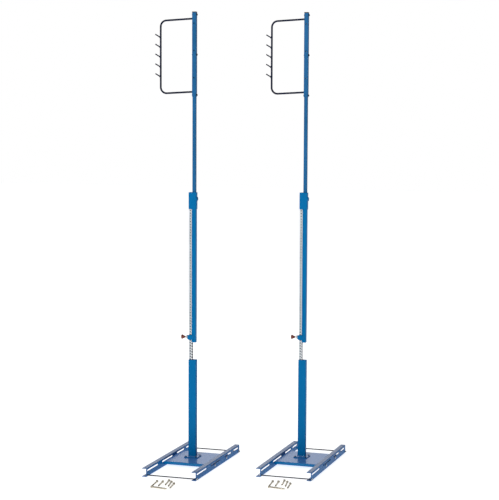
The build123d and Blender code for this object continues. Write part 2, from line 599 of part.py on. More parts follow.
PIECES = {
    "base_plate": base_plate,
    "base_rail_a": lambda: rail(RAIL_A_WEB),
    "base_rail_b": lambda: rail(RAIL_B_WEB),
    "front_tie_rod": lambda: tie_rod(RAIL_FRONT + ROD_INSET),
    "rear_tie_rod": lambda: tie_rod(RAIL_REAR - ROD_INSET),
    "tie_rod_nuts": tie_rod_nuts,
    "plate_fasteners": plate_fasteners,
    "foot_flange": foot_flange,
    "foot_bolts": foot_bolts,
    "lower_mast": lower_mast,
    "height_strip": height_strip,
    "strip_rivets": strip_rivets,
    "collar": collar,
    "collar_guide_pads": collar_guide_pads,
    "clamp_nut": clamp_nut,
    "clamp_screw": clamp_screw,
    "carriage_tube": carriage_tube,
    "upper_tube": upper_tube,
    "bracket_sleeve": bracket_sleeve,
    "sleeve_cap": sleeve_cap,
    "bracket_bolts": bracket_bolts,
    "bracket_nuts": bracket_nuts,
    "hook_loop": hook_loop,
    "hook_pegs": hook_pegs,
    "latch_housing": latch_housing,
    "plunger_body": plunger_body,
    "plunger_pin": plunger_pin,
    "plunger_spring": plunger_spring,
    "plunger_knob": plunger_knob,
    "ground_pegs": ground_pegs,
}

os.makedirs("parts", exist_ok=True)
for piece, make in PIECES.items():
    solid = make()
    for side, post in zip((-0.5, 0.5), POSTS):
        place = Pos(side * PAIR_X - ORIGIN_X, side * PAIR_Y - ORIGIN_Y, 0)
        export_step(place * solid, f"parts/{post}_{piece}.step")
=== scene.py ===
import json
from math import atan2, cos, pi, radians, sin, tan

import bmesh
import bpy
from mathutils import Matrix, Vector


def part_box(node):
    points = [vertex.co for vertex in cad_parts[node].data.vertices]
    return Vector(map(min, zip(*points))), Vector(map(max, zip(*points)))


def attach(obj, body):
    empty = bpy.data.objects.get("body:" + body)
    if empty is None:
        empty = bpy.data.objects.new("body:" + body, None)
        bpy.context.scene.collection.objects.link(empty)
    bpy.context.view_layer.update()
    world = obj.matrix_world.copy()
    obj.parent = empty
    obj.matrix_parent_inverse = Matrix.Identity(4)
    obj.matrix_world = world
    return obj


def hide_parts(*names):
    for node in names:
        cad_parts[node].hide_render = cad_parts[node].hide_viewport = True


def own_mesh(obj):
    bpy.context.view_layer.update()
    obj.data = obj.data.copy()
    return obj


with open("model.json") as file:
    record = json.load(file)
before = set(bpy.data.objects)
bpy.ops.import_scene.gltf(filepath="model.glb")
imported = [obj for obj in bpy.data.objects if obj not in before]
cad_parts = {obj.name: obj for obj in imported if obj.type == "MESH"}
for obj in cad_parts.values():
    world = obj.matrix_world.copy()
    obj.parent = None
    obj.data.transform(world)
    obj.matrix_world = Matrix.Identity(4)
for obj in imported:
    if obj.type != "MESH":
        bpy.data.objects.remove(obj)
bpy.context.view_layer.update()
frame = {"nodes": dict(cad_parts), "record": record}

NODES = frame["nodes"]
POSTS = ("left", "right")

# Sizes, in metres
BOLT_R, HEAD_R, HEAD_HEIGHT, NUT_ACROSS = 0.0029, 0.0055, 0.0032, 0.010   # of every M6 fastener
SOCKET_R = 0.0019        # half the width of the hexagon socket in a button head
TIE_ROD_R = 0.003
LOOP_DROOP = 0.009       # how far each arm of the loop falls from the sleeve to the upright
LOOP_BEND = 0.033        # radius of the loop's two bends, at the middle of the rod
HOOK_COUNT, HOOK_PITCH, HOOK_TILT = 5, 0.0525, radians(30.0)
HOOK_R, HOOK_TIP_R, HOOK_LENGTH = 0.0032, 0.0012, 0.036
HOOK_ROOT_R, HOOK_ROOT_END = 0.0046, 0.0085   # the shouldered root of each hook


# ---------------------------------------------------------------- materials
class Nodes:
    """A short way to write one material's node tree."""

    def __init__(self, name):
        self.material = bpy.data.materials.new(name)
        self.material.use_nodes = True
        self.tree = self.material.node_tree
        self.shader = self.tree.nodes["Principled BSDF"]
        self.coords = self.add("ShaderNodeTexCoord").outputs["Object"]

    def add(self, kind, **inputs):
        """A new node, with numbers for its sockets."""
        node = self.tree.nodes.new(kind)
        for key, value in inputs.items():
            node.inputs[key.replace("_", " ")].default_value = value
        return node

    def link(self, source, target):
        self.tree.links.new(source, target)

    def put(self, socket, value):
        """Feed a socket from another node, or set its own number or colour."""
        if hasattr(value, "is_output"):
            self.link(value, socket)
        else:
            socket.default_value = (*value, 1.0) if isinstance(value, tuple) else value

    def noise(self, scale, detail=4.0, roughness=0.6, stretch=(1, 1, 1)):
        mapping = self.add("ShaderNodeMapping", Scale=stretch)
        self.link(self.coords, mapping.inputs["Vector"])
        noise = self.add("ShaderNodeTexNoise", Scale=scale, Detail=detail, Roughness=roughness)
        self.link(mapping.outputs["Vector"], noise.inputs["Vector"])
        return noise.outputs["Fac"]

    def ramp(self, source, first, last):
        """A colour between two, by the brightness of another."""
        ramp = self.add("ShaderNodeValToRGB")
        for element, colour in zip(ramp.color_ramp.elements, (first, last)):
            element.color = (*colour, 1.0)
        self.link(source, ramp.inputs["Fac"])
        return ramp.outputs["Color"]

    def mix(self, factor, first, second):
        """A colour between two. The colour sockets of a mix node are its inputs 6 and 7."""
        mix = self.add("ShaderNodeMix")
        mix.data_type = "RGBA"
        for index, value in ((0, factor), (6, first), (7, second)):
            self.put(mix.inputs[index], value)
        return mix.outputs[2]

    def scaled(self, source, low, high, from_low=0.0, from_high=1.0):
        """A number carried from one range to another and held inside it."""
        span = self.add("ShaderNodeMapRange", From_Min=from_low, From_Max=from_high,
                        To_Min=low, To_Max=high)
        self.link(source, span.inputs["Value"])
        return span.outputs["Result"]

    def rounded_normal(self, radius, samples):
        """The direction of the surface, as if its edges had that radius."""
        bevel = self.add("ShaderNodeBevel", Radius=radius)
        bevel.samples = samples
        return bevel.outputs["Normal"]

    def edge_mask(self, radius):
        """Bright where the surface turns within that radius, as at an edge."""
        dot = self.add("ShaderNodeVectorMath")
        dot.operation = "DOT_PRODUCT"
        self.link(self.rounded_normal(radius, 6), dot.inputs[0])
        self.link(self.add("ShaderNodeNewGeometry").outputs["Normal"], dot.inputs[1])
        return self.scaled(dot.outputs["Value"], 1.0, 0.0, 0.80, 0.995)

    def top_reflection_mask(self):
        """Bright where the surface faces up: the mask of a painted reflection on top faces."""
        parts = self.add("ShaderNodeSeparateXYZ")
        self.link(self.add("ShaderNodeNewGeometry").outputs["Normal"], parts.inputs["Vector"])
        return self.scaled(parts.outputs["Z"], 0.0, 0.85, 0.6, 0.95)

    def bump(self, source, strength, distance, rounding=0.0):
        """Fine relief, on edges that may look slightly rounded."""
        bump = self.add("ShaderNodeBump", Strength=strength, Distance=distance)
        self.link(source, bump.inputs["Height"])
        if rounding:
            self.link(self.rounded_normal(rounding, 4), bump.inputs["Normal"])
        self.link(bump.outputs["Normal"], self.shader.inputs["Normal"])

    def surface(self, colour, roughness, **fixed):
        """Finish the material, with any other shader sockets at one fixed value."""
        self.put(self.shader.inputs["Base Color"], colour)
        self.put(self.shader.inputs["Roughness"], roughness)
        for key, value in fixed.items():
            self.shader.inputs[key.replace("_", " ")].default_value = value
        return self.material


def paint(name, colour, dark, worn, roughness, specular, top_reflection=None):
    """Powder coat: slight colour drift, orange peel, scuffs, thin wear on edges, and a painted reflection
    that lightens the top faces.
    """
    n = Nodes(name)
    drift = n.noise(6.0, detail=5.0)
    base = n.mix(n.scaled(drift, 0.0, 1.0, 0.3, 0.7), dark, colour)
    scuffs = n.noise(90.0, detail=6.0, roughness=0.7, stretch=(1.0, 1.0, 0.12))
    scuffed = n.mix(n.scaled(scuffs, 0.0, 0.35, 0.62, 0.78), base, worn)
    chipped = n.add("ShaderNodeMath")
    chipped.operation = "MULTIPLY"
    n.link(n.edge_mask(0.0012), chipped.inputs[0])
    n.link(n.scaled(n.noise(260.0), 0.0, 0.8, 0.5, 0.68), chipped.inputs[1])
    final = n.mix(chipped.outputs["Value"], scuffed, worn)
    # painted reflection: a lighter colour mixed onto the faces that point up
    if top_reflection:
        final = n.mix(n.top_reflection_mask(), final, top_reflection)
    n.bump(n.noise(900.0, detail=2.0), strength=0.12, distance=0.0004, rounding=0.0011)
    sheen = n.scaled(n.noise(30.0), roughness - 0.07, roughness + 0.1)
    return n.surface(final, sheen, Specular_IOR_Level=specular)


def galvanised(name):
    """Hot-dip zinc: crystal spangle, cloudy patches, fine drawing lines, and painted shade that darkens
    it inside hollows.
    """
    n = Nodes(name)
    spangle = n.add("ShaderNodeTexVoronoi", Scale=170.0)
    n.link(n.coords, spangle.inputs["Vector"])
    flakes = n.ramp(spangle.outputs["Color"], (0.46, 0.49, 0.51), (0.64, 0.67, 0.69))
    clouds = n.scaled(n.noise(14.0, detail=5.0), 0.0, 1.0, 0.3, 0.7)
    colour = n.mix(clouds, flakes, (0.66, 0.70, 0.72))
    # painted shade: ambient occlusion blends the zinc towards near-black inside hollows, such as the
    # strip's channel
    hollow_shade_ao = n.add("ShaderNodeAmbientOcclusion", Distance=0.03)
    depth = n.scaled(hollow_shade_ao.outputs["AO"], 1.0, 0.0, 0.50, 0.86)
    shaded = n.mix(depth, colour, (0.05, 0.055, 0.07))
    lines = n.noise(160.0, detail=3.0, stretch=(1.0, 1.0, 0.03))
    n.bump(lines, strength=0.15, distance=0.0003, rounding=0.0006)
    roughness = n.scaled(spangle.outputs["Distance"], 0.38, 0.55)
    return n.surface(shaded, roughness, Metallic=0.25)


def bright_steel(name, colour, dark, roughness=0.3, metallic=1.0):
    """Plated steel with light handling marks."""
    n = Nodes(name)
    marks = n.noise(70.0, detail=6.0, roughness=0.65)
    base = n.mix(n.scaled(marks, 0.0, 1.0, 0.35, 0.7), colour, dark)
    grain = n.noise(600.0, detail=3.0, roughness=0.5, stretch=(1.0, 1.0, 0.3))
    n.bump(grain, strength=0.12, distance=0.0003, rounding=0.0004)
    return n.surface(base, n.scaled(marks, roughness - 0.08, roughness + 0.15), Metallic=metallic)


def plastic(name, colour, dark, roughness, coat=0.0):
    """Moulded plastic with fine grain, dull handling marks and paler edges."""
    n = Nodes(name)
    cloud = n.noise(40.0)
    base = n.mix(n.scaled(cloud, 0.0, 1.0, 0.3, 0.7), dark, colour)
    pale = tuple(min(1.0, c * 1.9 + 0.02) for c in colour)
    final = n.mix(n.scaled(n.edge_mask(0.0008), 0.0, 0.5), base, pale)
    n.bump(n.noise(1500.0, detail=2.0), strength=0.2, distance=0.0002, rounding=0.0005)
    return n.surface(final, n.scaled(cloud, roughness - 0.05, roughness + 0.12), Coat_Weight=coat)


def weld_paint(name, colour, dark):
    """The paint where it runs over a weld: darker in the ripples."""
    n = Nodes(name)
    ripples = n.noise(420.0, detail=3.0)
    base = n.mix(n.scaled(ripples, 0.0, 1.0, 0.35, 0.65), dark, colour)
    n.bump(ripples, strength=0.4, distance=0.0006)
    return n.surface(base, 0.35, Coat_Weight=0.2)


BLUE, BLUE_DARK, BLUE_WORN = (0.0, 0.165, 0.425), (0.0, 0.148, 0.375), (0.03, 0.19, 0.40)
# the blue paint made darker and greyer for the upper tube and bracket sleeve: painted shade
UPPER_SHADED, UPPER_SHADED_DARK, UPPER_SHADED_WORN = (0.018, 0.140, 0.340), (0.012, 0.112, 0.270), (0.06, 0.20, 0.40)
RAIL, RAIL_DARK = (0.0, 0.150, 0.420), (0.008, 0.110, 0.330)
# near-black navy, used on the hook loop and its hooks, much darker than the tubes' blue: partly the rod's
# own colour, partly painted shade
NAVY_SHADED, NAVY_SHADED_DARK, NAVY_SHADED_WORN = (0.008, 0.013, 0.038), (0.005, 0.008, 0.024), (0.04, 0.06, 0.11)
# lighter colours painted on the top faces of the plate and rails: a painted reflection of the white
# surroundings
PLATE_TOP_REFLECTION, RAIL_TOP_REFLECTION = (0.10, 0.27, 0.66), (0.30, 0.38, 0.56)

# each material's function, and what it is given after the name
RECIPES = {
    "blue_paint": (paint, BLUE, BLUE_DARK, BLUE_WORN, 0.36, 0.05),
    "plate_paint": (paint, BLUE, BLUE_DARK, BLUE_WORN, 0.18, 0.2, PLATE_TOP_REFLECTION),
    "rail_paint": (paint, RAIL, RAIL_DARK, BLUE_WORN, 0.36, 0.06, RAIL_TOP_REFLECTION),
    "upper_paint": (paint, UPPER_SHADED, UPPER_SHADED_DARK, UPPER_SHADED_WORN, 0.36, 0.06),
    "navy_paint": (paint, NAVY_SHADED, NAVY_SHADED_DARK, NAVY_SHADED_WORN, 0.42, 0.10),
    "galvanised_steel": (galvanised,),
    "zinc_steel": (bright_steel, (0.62, 0.62, 0.60), (0.42, 0.42, 0.41)),
    "black_steel": (bright_steel, (0.05, 0.055, 0.07), (0.02, 0.022, 0.03), 0.4, 0.8),
    "black_plastic": (plastic, (0.022, 0.024, 0.032), (0.012, 0.013, 0.018), 0.5),
    "knob_plastic": (plastic, (0.23, 0.052, 0.030), (0.13, 0.028, 0.018), 0.32, 0.3),
    "peg_steel": (bright_steel, (0.60, 0.55, 0.44), (0.36, 0.32, 0.25), 0.38, 0.7),
    "blue_weld": (weld_paint, BLUE, BLUE_DARK),
    "navy_weld": (weld_paint, NAVY_SHADED, NAVY_SHADED_DARK),
}
MATERIALS = {name: make(name, *values) for name, (make, *values) in RECIPES.items()}

# pieces whose material isn't simply the one of their slot in the record
FINISHES = {
    # upper_paint is the blue darkened as painted shade
    "upper_tube": "upper_paint", "bracket_sleeve": "upper_paint",
    "base_rail_a": "rail_paint", "base_rail_b": "rail_paint",
    "base_plate": "plate_paint", "foot_flange": "plate_paint",
}
SLOTS = {part["node"]: part["material_slot"] for part in frame["record"]["subparts"]}
for node_name, node in NODES.items():
    node.data.materials.clear()
    piece_name = node_name.split("_", 1)[1]
    node.data.materials.append(MATERIALS[FINISHES.get(piece_name, SLOTS[node_name])])


# ---------------------------------------------------------------- mesh helpers
def finished(name, bm, body, slot, material=None, replaces=()):
    """Turn a bmesh into a piece that rides on a body."""
    bmesh.ops.recalc_face_normals(bm, faces=bm.faces)
    mesh = bpy.data.meshes.new(name)
    bm.to_mesh(mesh)
    bm.free()
    mesh.shade_smooth()
    mesh.set_sharp_from_angle(angle=radians(38))
    piece = bpy.data.objects.new(name, mesh)
    bpy.context.scene.collection.objects.link(piece)
    mesh.materials.append(MATERIALS[material or slot])
    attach(piece, body)
    if replaces:
        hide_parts(*replaces)
    return piece


def circle_angles(count):
    return [2 * pi * i / count for i in range(count)]


def add_ring(bm, place, segments, outline):
    """A ring of points round Z. outline gives the radius and height at an angle."""
    ring = []
    for angle in circle_angles(segments):
        radius, height = outline(angle)
        ring.append(bm.verts.new(place @ Vector((radius * cos(angle), radius * sin(angle), height))))
    return ring


def join_rings(bm, rings, segments):
    """Faces between neighbouring rings. A ring of one point closes an end."""
    for low, high in zip(rings, rings[1:]):
        for i in range(segments):
            corners = [low[i % len(low)], low[(i + 1) % len(low)],
                       high[(i + 1) % len(high)], high[i % len(high)]]
            bm.faces.new(list(dict.fromkeys(corners)))


def add_lathe(bm, profile, place, segments=48, carve=None):
    """Turn (radius, height) points round Z, then place them. Radius 0 closes the end.

    carve gives how deep the surface is cut at a radius, height and angle.
    """
    rings = []
    for radius, height in profile:
        if radius < 1e-7:
            rings.append([bm.verts.new(place @ Vector((0, 0, height)))])
        elif carve:
            rings.append(add_ring(bm, place, segments,
                                  lambda angle: (radius - carve(radius, height, angle), height)))
        else:
            rings.append(add_ring(bm, place, segments, lambda angle: (radius, height)))
    join_rings(bm, rings, segments)
    return rings


def add_tube(bm, points, radii, segments, closed=False):
    """A round tube through points, with a radius at each and a steady frame along it."""
    count = len(points)
    rings = []
    normal = None
    for i, (point, radius) in enumerate(zip(points, radii)):
        ahead = points[(i + 1) % count] if closed else points[min(i + 1, count - 1)]
        behind = points[i - 1] if closed else points[max(i - 1, 0)]
        tangent = (ahead - behind).normalized()
        if normal is None:
            normal = tangent.orthogonal().normalized()
        normal = (normal - tangent * normal.dot(tangent)).normalized()
        side = tangent.cross(normal)
        rings.append([bm.verts.new(point + (normal * cos(a) + side * sin(a)) * radius)
                      for a in circle_angles(segments)])
    join_rings(bm, rings + rings[:1] if closed else rings, segments)
    if not closed:
        bm.faces.new(rings[0][::-1])
        bm.faces.new(rings[-1])


def add_rod(bm, points, radius, segments):
    add_tube(bm, points, [radius] * len(points), segments)


def add_bead(bm, points, radius, segments=8, closed=True):
    """A weld bead along points: a thin tube with small even ripples."""
    swell, points_per_ripple = 0.18, 3
    radii = [radius * (1 + swell * (0.5 + 0.5 * cos(2 * pi * i / points_per_ripple)))
             for i in range(len(points))]
    add_tube(bm, points, radii, segments, closed)


def along_x(middle, x, facing=1):
    """A placement at x on the line through middle, whose Z runs along +X (or -X)."""
    return Matrix.Translation((x, middle.y, middle.z)) @ Matrix.Rotation(facing * pi / 2, 4, "Y")


def turned_to(direction):
    """A rotation that takes +Z to a direction."""
    return Vector((0, 0, 1)).rotation_difference(direction).to_matrix().to_4x4()


def circle_round_x(middle, x, radius, count):
    """Points of a circle round the X direction."""
    place = along_x(middle, x)
    return [place @ Vector((radius * cos(a), radius * sin(a), 0.0)) for a in circle_angles(count)]


def rounded_path(corners, bend, closed, step):
    """Points along a polyline whose corners are arcs of radius bend."""
    points = []
    count = len(corners)
    arc_parts = 10
    for i, corner in enumerate(corners):
        if not closed and i in (0, count - 1):
            points.append(corner)
            continue
        before = (corners[i - 1] - corner).normalized()
        after = (corners[(i + 1) % count] - corner).normalized()
        half = before.angle(after) / 2
        middle = corner + (before + after).normalized() * (bend / sin(half))
        start = corner + before * (bend / tan(half)) - middle
        end = corner + after * (bend / tan(half)) - middle
        for k in range(arc_parts + 1):
            points.append(middle + start.slerp(end, k / arc_parts).normalized() * bend)
    return spread(points, step, closed)


def spread(points, step, closed):
    """The same path with points about one step apart, or nearer."""
    result = []
    ends = points[1:] + (points[:1] if closed else [])
    for start, end in zip(points, ends):
        length = (end - start).length
        if length < 1e-7:
            continue
        parts = max(1, round(length / step))
        result += [start.lerp(end, k / parts) for k in range(parts)]
    if not closed:
        result.append(points[-1])
    return result


# ---------------------------------------------------------------- places read from the CAD
def centre(node):
    low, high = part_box(node)
    return (low + high) / 2


def post_axis(post):
    """The vertical axis of one post, at floor level."""
    middle = centre(f"{post}_lower_mast")
    return Vector((middle.x, middle.y, 0.0))


def side_of_post(post, point):
    """-1 where a point is on the -X side of its post's axis, or 1."""
    return -1 if point.x < post_axis(post).x else 1


def loop_box(post):
    """Lowest and highest corner of the hook loop, and the radius of its rod."""
    low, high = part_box(f"{post}_hook_loop")
    return low, high, (high.y - low.y) / 2


def islands(post, piece):
    """The corner points of each separate solid in a CAD node."""
    bm = bmesh.new()
    bm.from_mesh(NODES[f"{post}_{piece}"].data)
    bmesh.ops.remove_doubles(bm, verts=bm.verts, dist=1e-6)
    left = set(bm.verts)
    groups = []
    while left:
        queue = [left.pop()]
        points = []
        while queue:
            vert = queue.pop()
            points.append(vert.co.copy())
            for edge in vert.link_edges:
                other = edge.other_vert(vert)
                if other in left:
                    left.discard(other)
                    queue.append(other)
        groups.append(points)
    bm.free()
    return sorted(groups, key=lambda points: tuple(min(points, key=lambda p: tuple(p))))


def island_boxes(post, piece):
    """Lowest corner, highest corner and middle of each separate solid in a CAD node."""
    boxes = []
    for points in islands(post, piece):
        low = Vector([min(p[i] for p in points) for i in range(3)])
        high = Vector([max(p[i] for p in points) for i in range(3)])
        boxes.append((low, high, (low + high) / 2))
    return boxes


def peg_axes(post):
    """Direction, head centre and length of each loose ground peg."""
    end_reach = 0.0035   # points this near an end belong to its head or its tip
    result = []
    for points in islands(post, "ground_pegs"):
        middle = sum(points, Vector()) / len(points)
        far = max(points, key=lambda p: (p - middle).length)
        other = max(points, key=lambda p: (p - far).length)
        rough = (other - far).normalized()
        heights = [(p - far).dot(rough) for p in points]
        low, high = min(heights), max(heights)
        groups = ([p for p, h in zip(points, heights) if h < low + end_reach],
                  [p for p, h in zip(points, heights) if h > high - end_reach])
        ends = [sum(group, Vector()) / len(group) for group in groups]
        widths = [max((p - end).length for p in group) for group, end in zip(groups, ends)]
        head, point = ends if widths[0] > widths[1] else ends[::-1]
        axis = (point - head).normalized()
        along = [(p - head).dot(axis) for p in points]
        result.append((axis, head + axis * min(along), max(along) - min(along)))
    return result


# ---------------------------------------------------------------- fasteners, along Z
def hex_radius(across, angle):
    """Distance from a hexagon's centre to its outline."""
    return across / 2 / cos((angle + pi / 6) % (pi / 3) - pi / 6)


def add_nut(bm, place, thickness, hole=BOLT_R):
    """A hexagon with chamfered corners at both ends and a hole."""
    segments = 72
    end_r = NUT_ACROSS / 2 * 0.985
    chamfer_slope = 0.5

    def outline(angle, is_top, is_end):
        full = hex_radius(NUT_ACROSS, angle)
        drop = 0.0 if is_end else max(full - end_r, 0.0) * chamfer_slope
        return (min(full, end_r) if is_end else full), (thickness - drop if is_top else drop)

    rings = [add_ring(bm, place, segments, lambda angle: outline(angle, is_top, is_end))
             for is_top, is_end in ((False, True), (False, False), (True, False), (True, True))]
    rings += [add_ring(bm, place, segments, lambda angle: (hole, height))
              for height in (thickness, 0.0)]
    join_rings(bm, rings + rings[:1], segments)


def add_washer(bm, place, inner, outer, thickness):
    edge = thickness * 0.25
    profile = [(inner, 0.0), (outer - edge, 0.0), (outer, edge), (outer, thickness - edge),
               (outer - edge, thickness), (inner, thickness), (inner, 0.0)]
    add_lathe(bm, profile, place)


def add_button_head(bm, place):
    """A domed head with a hexagon socket in its top."""
    segments = 48
    skirt = HEAD_HEIGHT * 0.3
    flat_r = SOCKET_R * 1.6
    quarter = [radians(15 * k) for k in range(1, 7)]
    outline = [(HEAD_R, 0.0), (HEAD_R, skirt)]
    outline += [(HEAD_R - (HEAD_R - flat_r) * (1 - cos(a)), skirt + (HEAD_HEIGHT - skirt) * sin(a))
                for a in quarter]
    rings = [add_ring(bm, place, segments, lambda angle: point) for point in outline]
    rings += [add_ring(bm, place, segments, lambda angle: (hex_radius(SOCKET_R * 2, angle), height))
              for height in (HEAD_HEIGHT, HEAD_HEIGHT * 0.45)]
    join_rings(bm, rings, segments)
    bm.faces.new(rings[-1])
    bm.faces.new(rings[0][::-1])


def thread_profile(start, end, radius):
    """Radius and height points of a threaded stretch, ending with a chamfer."""
    pitch, depth = 0.0009, 0.00035
    points = [(radius, start)]
    height = start + pitch
    while height < end - pitch:
        points += [(radius, height - pitch * 0.15), (radius - depth, height + pitch * 0.3),
                   (radius, height + pitch * 0.8)]
        height += pitch
    return points + [(radius, end - depth * 2), (radius - depth * 2, end), (0.0, end)]


def add_shank(bm, place, length):
    """The threaded shank of a bolt, from under its head."""
    thread_start = 0.001
    add_lathe(bm, [(0.0, 0.0)] + thread_profile(thread_start, length, BOLT_R), place, 32)


# ---------------------------------------------------------------- pieces of one post
def smooth_hook_loop(post):
    """The bent rod of the hook loop, with its two weld beads on the sleeve."""
    low, high, rod = loop_box(post)
    y = (low.y + high.y) / 2
    outer, weld = low.x + rod, high.x
    slope = atan2(LOOP_DROOP, weld - outer)
    top, bottom = high.z - rod / cos(slope), low.z + rod
    corners = [Vector((weld, y, top)), Vector((outer, y, top - LOOP_DROOP)),
               Vector((outer, y, bottom)), Vector((weld, y, bottom + LOOP_DROOP))]
    bm = bmesh.new()
    add_rod(bm, rounded_path(corners, LOOP_BEND, closed=False, step=0.006), rod, 32)
    body = f"{post}_carriage"
    finished(f"{post}_hook_loop_rod", bm, body, "navy_paint", replaces=[f"{post}_hook_loop"])
    bm = bmesh.new()
    for arm in (corners[0], corners[-1]):
        seam = circle_round_x(arm, weld - 0.0006, rod + 0.0004, 60)
        add_bead(bm, seam, 0.0014, segments=10)
    finished(f"{post}_loop_welds", bm, body, "navy_paint", "navy_weld")


def hook_feet(post):
    """Where each hook's axis meets the axis of the loop's upright."""
    low, high, rod = loop_box(post)
    top = high.z - rod - LOOP_DROOP
    middle = Vector((low.x + rod, (low.y + high.y) / 2, (top + low.z + rod) / 2))
    return [middle + Vector((0, 0, HOOK_PITCH * (i - (HOOK_COUNT - 1) / 2)))
            for i in range(HOOK_COUNT)]


def hook_profile(start):
    """Radius and height points of a hook: shouldered root, round peg, domed tip."""
    edge = 0.0004
    quarter = [radians(15 * k) for k in range(1, 7)]
    dome = [(HOOK_R - HOOK_TIP_R + HOOK_TIP_R * cos(a), HOOK_LENGTH - HOOK_TIP_R + HOOK_TIP_R * sin(a))
            for a in quarter]
    return [(0.0, start), (HOOK_ROOT_R, start), (HOOK_ROOT_R, HOOK_ROOT_END - edge),
            (HOOK_ROOT_R - edge, HOOK_ROOT_END), (HOOK_R + edge, HOOK_ROOT_END),
            (HOOK_R, HOOK_ROOT_END + edge), (HOOK_R, HOOK_LENGTH - HOOK_TIP_R),
            *dome, (0.0, HOOK_LENGTH)]


def hook_seam(place, direction, rod):
    """Points where the side of a hook's root meets the round side of the upright."""
    points = []
    for angle in circle_angles(48):
        start = place @ Vector((HOOK_ROOT_R * cos(angle), HOOK_ROOT_R * sin(angle), 0.0))
        beside = min(abs(HOOK_ROOT_R * sin(angle)), rod * 0.98)
        reach = (rod ** 2 - beside ** 2) ** 0.5
        gap = reach - (place.translation.x - start.x)
        points.append(start + direction * (gap / cos(HOOK_TILT)))
    return points


def smooth_hook_pegs(post):
    """The five hooks, turned and welded to the loop's upright."""
    rod = loop_box(post)[2]
    direction = Vector((-cos(HOOK_TILT), 0.0, sin(HOOK_TILT)))
    profile = hook_profile(rod * 0.5)
    pegs, welds = bmesh.new(), bmesh.new()
    for foot in hook_feet(post):
        place = Matrix.Translation(foot) @ turned_to(direction)
        add_lathe(pegs, profile, place, 32)
        add_bead(welds, hook_seam(place, direction, rod), 0.0009)
    body = f"{post}_carriage"
    finished(f"{post}_hooks", pegs, body, "navy_paint", replaces=[f"{post}_hook_pegs"])
    finished(f"{post}_hook_welds", welds, body, "navy_paint", "navy_weld")


def ribbed_knob(post):
    """Flared knob with twelve finger grooves, a dished end and a stepped neck."""
    low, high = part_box(f"{post}_plunger_knob")
    middle = (low + high) / 2
    depth = high.x - low.x
    big, small = (high.y - low.y) / 2, 0.0055
    neck, rim, step = 0.0040, 0.0035, 0.0006
    grooves, groove_depth, groove_start, groove_fade = 12, 0.0009, 0.0065, 0.003
    flare_parts, flare_power = 14, 1.2
    outline = [(small - 0.0005, 0.0), (small, 0.0005), (small, neck - 0.0008), (small + step, neck)]
    for k in range(1, flare_parts + 1):
        t = k / flare_parts
        outline.append((small + step + (big - small - step) * t ** flare_power,
                        neck + (depth - rim - neck) * t))
    outline += [(big, depth - 0.0018), (big - 0.0003, depth - 0.0009), (big - 0.0009, depth - 0.0002),
                (big - 0.0018, depth), (big - 0.0027, depth - 0.0005), (big * 0.6, depth - 0.0014),
                (big * 0.3, depth - 0.0018), (big * 0.28, depth - 0.0012), (big * 0.1, depth - 0.0011),
                (0.0, depth - 0.0011)]

    def groove(radius, height, angle):
        if height >= depth - 0.0003:
            return 0.0
        reach = max(0.0, min(1.0, (radius - groove_start) / groove_fade))
        return max(0.0, cos(grooves * angle)) ** 2 * groove_depth * reach

    bm = bmesh.new()
    rings = add_lathe(bm, outline, along_x(middle, high.x, -1), 144, groove)
    bm.faces.new(rings[0][::-1])
    finished(f"{post}_knob", bm, f"{post}_plunger", "knob_plastic",
             replaces=[f"{post}_plunger_knob"])


def ground_peg_profile(length):
    """Radius and height points of a ground peg: rounded head, neck groove, rod, long point."""
    head, rod, tip = 0.0070, 0.0045, 0.0010
    head_height, groove, groove_depth, taper = 0.0055, 0.0120, 0.0003, 0.0145
    return [(0.0, 0.0), (head - 0.0016, 0.0), (head - 0.0004, 0.0005), (head, 0.0016),
            (head, head_height - 0.0014), (head - 0.0004, head_height - 0.0004),
            (head - 0.0012, head_height), (rod + 0.0002, head_height), (rod, head_height + 0.0006),
            (rod, groove), (rod - groove_depth, groove + 0.0004),
            (rod - groove_depth, groove + 0.0014), (rod, groove + 0.0018),
            (rod, length - taper), (rod - 0.0002, length - taper + 0.0007),
            (tip + 0.0004, length - 0.0014), (tip - 0.0002, length - 0.0004), (0.0, length)]


def turned_ground_pegs(post):
    """The loose ground pegs, each turned from bar."""
    bm = bmesh.new()
    for axis, start, length in peg_axes(post):
        place = Matrix.Translation(start) @ turned_to(axis)
        add_lathe(bm, ground_peg_profile(length), place, 40)
    finished(f"{post}_pegs_on_floor", bm, "root", "peg_steel", replaces=[f"{post}_ground_pegs"])


def bracket_fasteners(post):
    """Button heads, nuts and threaded ends of the three bolts through the sleeve."""
    bolts, nuts = bmesh.new(), bmesh.new()
    for low, high, middle in island_boxes(post, "bracket_bolts"):
        face = low.x + HEAD_HEIGHT
        add_button_head(bolts, along_x(middle, face, -1))
        add_shank(bolts, along_x(middle, face), high.x - face)
    for low, high, middle in island_boxes(post, "bracket_nuts"):
        add_nut(nuts, along_x(middle, low.x), high.x - low.x)
    body = f"{post}_carriage"
    finished(f"{post}_bracket_bolt_set", bolts, body, "black_steel",
             replaces=[f"{post}_bracket_bolts"])
    finished(f"{post}_bracket_nut_set", nuts, body, "black_steel",
             replaces=[f"{post}_bracket_nuts"])


def foot_fasteners(post):
    """The bolts that hold the flange, heads up, and the nuts under the base plate."""
    flange_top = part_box(f"{post}_foot_flange")[1].z
    bm = bmesh.new()
    for low, high, middle in island_boxes(post, "foot_bolts"):
        is_bolt = high.z > flange_top + 0.001
        if is_bolt:
            place = Matrix.Translation((middle.x, middle.y, high.z - HEAD_HEIGHT))
            add_button_head(bm, place)
            add_shank(bm, place @ Matrix.Rotation(pi, 4, "X"), high.z - HEAD_HEIGHT - low.z)
        else:
            add_nut(bm, Matrix.Translation((middle.x, middle.y, low.z)), high.z - low.z)
    finished(f"{post}_foot_bolt_set", bm, "root", "black_steel", replaces=[f"{post}_foot_bolts"])


